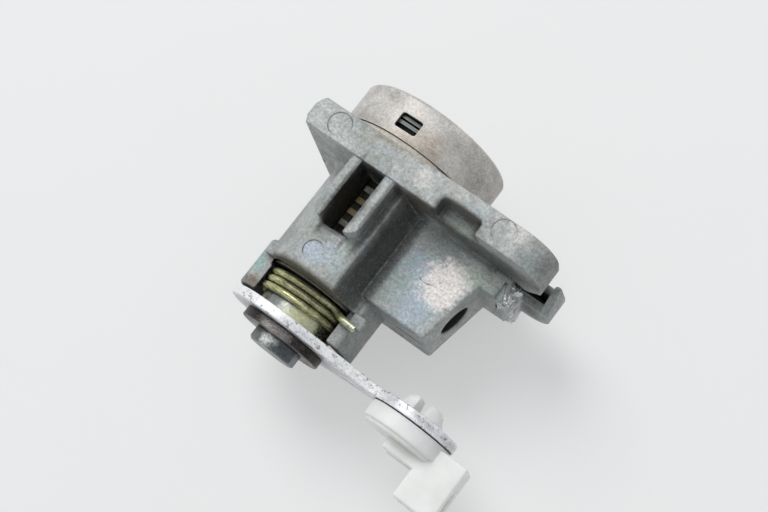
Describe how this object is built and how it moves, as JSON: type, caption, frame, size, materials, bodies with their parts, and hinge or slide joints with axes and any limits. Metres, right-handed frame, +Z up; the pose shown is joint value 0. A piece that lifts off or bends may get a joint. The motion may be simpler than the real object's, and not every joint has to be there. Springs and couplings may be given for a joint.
{
  "type": "door lock cylinder",
  "caption": "Vehicle door lock cylinder with a mounting flange, pressed face cap, wafer plug, sprung cam lever and plastic rod clip.",
  "frame": {"origin": "the plug's axis where it meets the flange's front face", "axes": "+Y along the plug's axis towards the face cap, +X along the flange towards the screw block, +Z up through the wafer slot"},
  "size_m": [0.0522, 0.0523, 0.0317],
  "materials": {
    "zinc": "dull zinc casting with tarnish",
    "stainless": "satin with brown stains",
    "steel": "dull",
    "brass": "tarnished",
    "seal": "matte",
    "plated_spring": "yellow chromate",
    "sleeve": "yellowed",
    "plated_steel": "zinc plated, worn",
    "dark_steel": "dark, greasy",
    "nylon": "natural nylon"
  },
  "bodies": {
    "housing": {"housing": "zinc", "face_cap": "stainless", "cap_staple": "steel", "return_spring": "plated_spring"},
    "plug": {"key_plug": "zinc", "plug_face": "stainless", "plug_seal": "seal", "shutter_pin": "steel", "shutter_spring": "steel", "wafer_spring_1": "steel", "wafer_spring_2": "steel", "wafer_spring_3": "steel", "wafer_spring_4": "steel", "wafer_spring_5": "steel", "wafer_spring_6": "steel", "wafer_spring_7": "steel", "wafer_spring_8": "steel", "spring_sleeve": "sleeve", "cam_lever": "plated_steel", "lever_washer": "dark_steel", "hex_bolt": "dark_steel"},
    "shutter": {"shutter": "steel"},
    "wafer_1": {"wafer_1": "brass"},
    "wafer_2": {"wafer_2": "brass"},
    "wafer_3": {"wafer_3": "brass"},
    "wafer_4": {"wafer_4": "brass"},
    "wafer_5": {"wafer_5": "brass"},
    "wafer_6": {"wafer_6": "brass"},
    "wafer_7": {"wafer_7": "brass"},
    "wafer_8": {"wafer_8": "brass"},
    "rod_clip": {"rod_clip": "nylon"}
  },
  "joints": [
    {"name": "plug_turn", "type": "hinge", "parent": "housing", "child": "plug", "pos_m": [0, 0, 0], "axis": [0, 1, 0], "range_deg": [-45, 45], "stiffness_Nm_per_rad": 0.15, "deforming": ["return_spring"]},
    {"name": "shutter_swing", "type": "hinge", "parent": "plug", "child": "shutter", "pos_m": [0.0022, 0.00721, 0], "axis": [0, 0, 1], "range_deg": [0, 80], "stiffness_Nm_per_rad": 0.0002, "springref_deg": -17.19},
    {"name": "wafer_1_slide", "type": "slide", "parent": "plug", "child": "wafer_1", "axis": [0, 0, 1], "range_m": [-0.0006, 0], "stiffness_N_per_m": 60, "springref_m": 0.0004, "deforming": ["wafer_spring_1"]},
    {"name": "wafer_2_slide", "type": "slide", "parent": "plug", "child": "wafer_2", "axis": [0, 0, 1], "range_m": [-0.0006, 0], "stiffness_N_per_m": 60, "springref_m": 0.0004, "deforming": ["wafer_spring_2"]},
    {"name": "wafer_3_slide", "type": "slide", "parent": "plug", "child": "wafer_3", "axis": [0, 0, 1], "range_m": [-0.0006, 0], "stiffness_N_per_m": 60, "springref_m": 0.0004, "deforming": ["wafer_spring_3"]},
    {"name": "wafer_4_slide", "type": "slide", "parent": "plug", "child": "wafer_4", "axis": [0, 0, 1], "range_m": [-0.0006, 0], "stiffness_N_per_m": 60, "springref_m": 0.0004, "deforming": ["wafer_spring_4"]},
    {"name": "wafer_5_slide", "type": "slide", "parent": "plug", "child": "wafer_5", "axis": [0, 0, 1], "range_m": [-0.0006, 0], "stiffness_N_per_m": 60, "springref_m": 0.0004, "deforming": ["wafer_spring_5"]},
    {"name": "wafer_6_slide", "type": "slide", "parent": "plug", "child": "wafer_6", "axis": [0, 0, 1], "range_m": [-0.0006, 0], "stiffness_N_per_m": 60, "springref_m": 0.0004, "deforming": ["wafer_spring_6"]},
    {"name": "wafer_7_slide", "type": "slide", "parent": "plug", "child": "wafer_7", "axis": [0, 0, 1], "range_m": [-0.0006, 0], "stiffness_N_per_m": 60, "springref_m": 0.0004, "deforming": ["wafer_spring_7"]},
    {"name": "wafer_8_slide", "type": "slide", "parent": "plug", "child": "wafer_8", "axis": [0, 0, 1], "range_m": [-0.0006, 0], "stiffness_N_per_m": 60, "springref_m": 0.0004, "deforming": ["wafer_spring_8"]},
    {"name": "clip_pivot", "type": "hinge", "parent": "plug", "child": "rod_clip", "pos_m": [0.0262, -0.032, 0.001], "axis": [0, 1, 0], "continuous": true}
  ]
}
